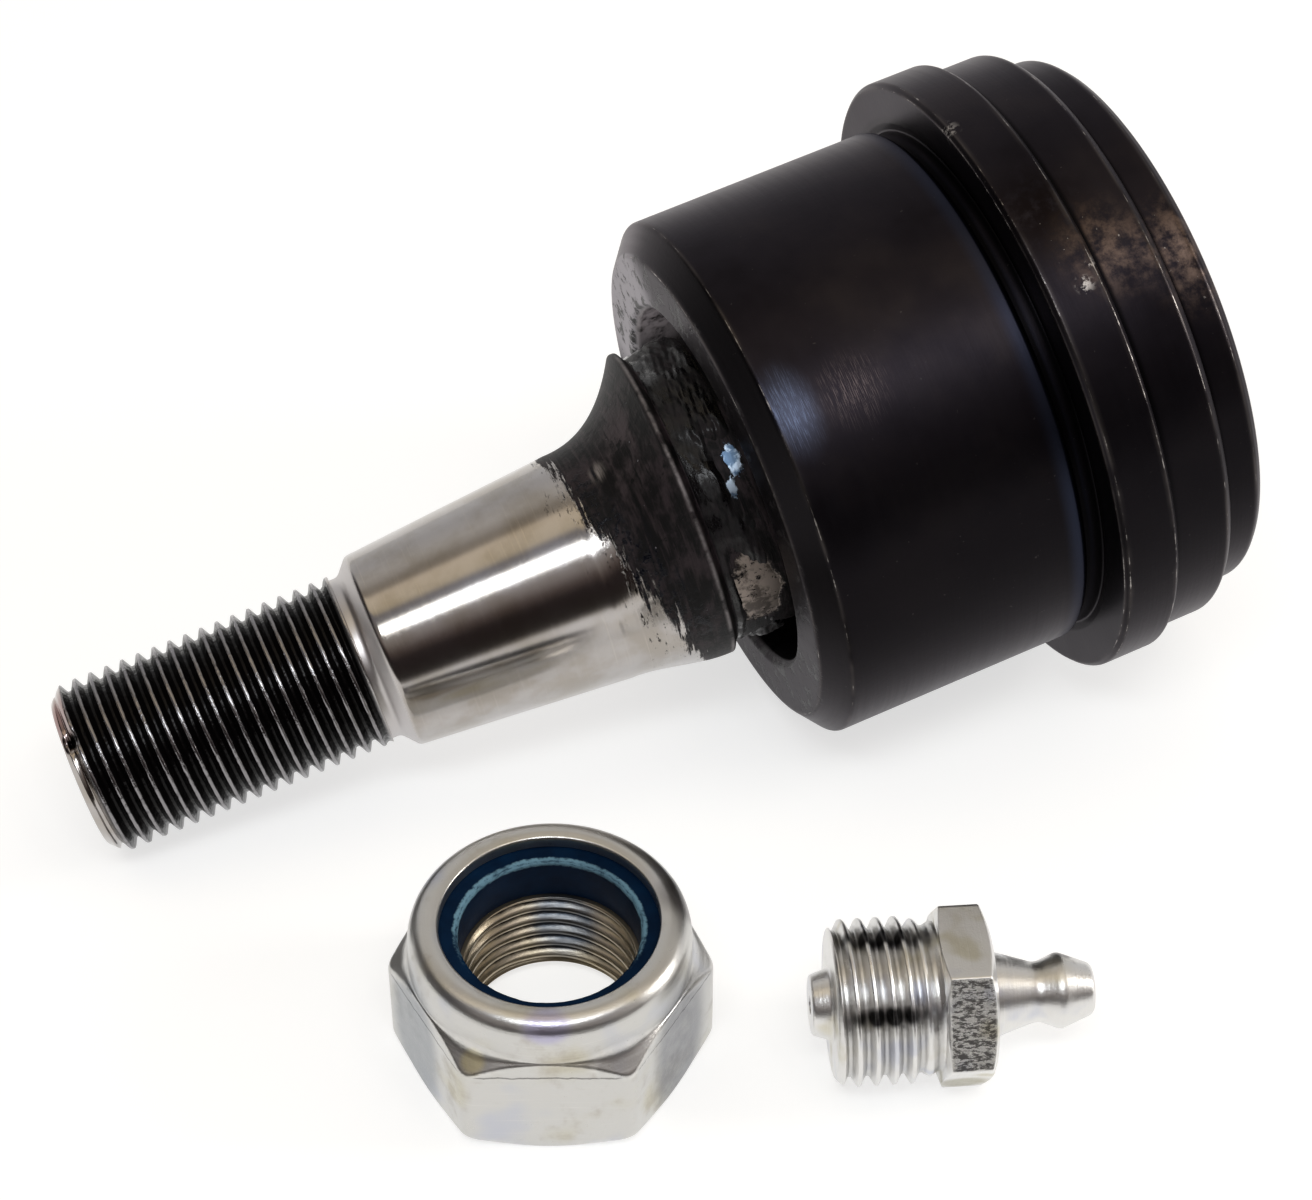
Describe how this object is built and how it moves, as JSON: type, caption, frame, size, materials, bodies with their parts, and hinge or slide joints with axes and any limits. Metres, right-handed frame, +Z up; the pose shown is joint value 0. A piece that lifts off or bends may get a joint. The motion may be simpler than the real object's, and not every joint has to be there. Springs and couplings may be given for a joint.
{
  "type": "suspension ball joint",
  "caption": "Press-in suspension ball joint lying on its side, with an eccentric tapered stud, and its nylon-insert lock nut and grease fitting beside it.",
  "frame": {"origin": "the ball's centre, on the axis of the press-fit land", "axes": "+X along the plan direction of the housing's axis, from the stud to the cover; +Z up from the surface that the pieces lie on"},
  "size_m": [0.1064, 0.086, 0.0569],
  "materials": {
    "black_steel": "satin black oxide",
    "ground_steel": "ground, oily",
    "sintered_steel": "sintered, greased",
    "liner_polymer": "natural acetal",
    "spring_steel": "dark tempered",
    "zinc_plate": "bright zinc plate",
    "blue_nylon": "satin",
    "bearing_ball": "polished"
  },
  "bodies": {
    "housing": {"housing": "black_steel", "cover": "black_steel", "preload_spring": "spring_steel"},
    "seat": {"seat_ring": "sintered_steel"},
    "liner": {"ball_liner": "liner_polymer"},
    "stud": {"ball_stud": "ground_steel"},
    "cup": {"pressure_cup": "sintered_steel"},
    "nut": {"lock_nut": "zinc_plate", "nylon_insert": "blue_nylon"},
    "fitting": {"fitting_body": "zinc_plate", "check_spring": "spring_steel"},
    "check_valve": {"check_ball": "bearing_ball"}
  },
  "joints": [
    {"name": "seat_turn", "type": "hinge", "parent": "housing", "child": "seat", "pos_m": [0, 0, 0], "axis": [-0.9883, 0, -0.1528], "continuous": true},
    {"name": "stud_tilt", "type": "hinge", "parent": "seat", "child": "liner", "pos_m": [0, 0, 0], "axis": [0.1112, -0.6859, -0.7191], "range_deg": [-15.24, 4.76]},
    {"name": "stud_spin", "type": "hinge", "parent": "liner", "child": "stud", "pos_m": [0, 0, 0], "axis": [-0.9746, 0.0664, -0.2141], "continuous": true},
    {"name": "cup_preload", "type": "slide", "parent": "housing", "child": "cup", "axis": [0.9883, 0, 0.1528], "range_m": [0, 0.0003], "stiffness_N_per_m": 2000, "springref_m": -0.005, "deforming": ["preload_spring"]},
    {"name": "nut_lift", "type": "slide", "parent": "housing", "child": "nut", "axis": [0, 0, 1], "range_m": [0, 0.08]},
    {"name": "fitting_lift", "type": "slide", "parent": "housing", "child": "fitting", "axis": [0, 0, 1], "range_m": [0, 0.08]},
    {"name": "check_valve_slide", "type": "slide", "parent": "fitting", "child": "check_valve", "axis": [-0.9472, 0.3206, 0], "range_m": [0, 0.0008], "stiffness_N_per_m": 200, "springref_m": -0.001, "deforming": ["check_spring"]}
  ]
}
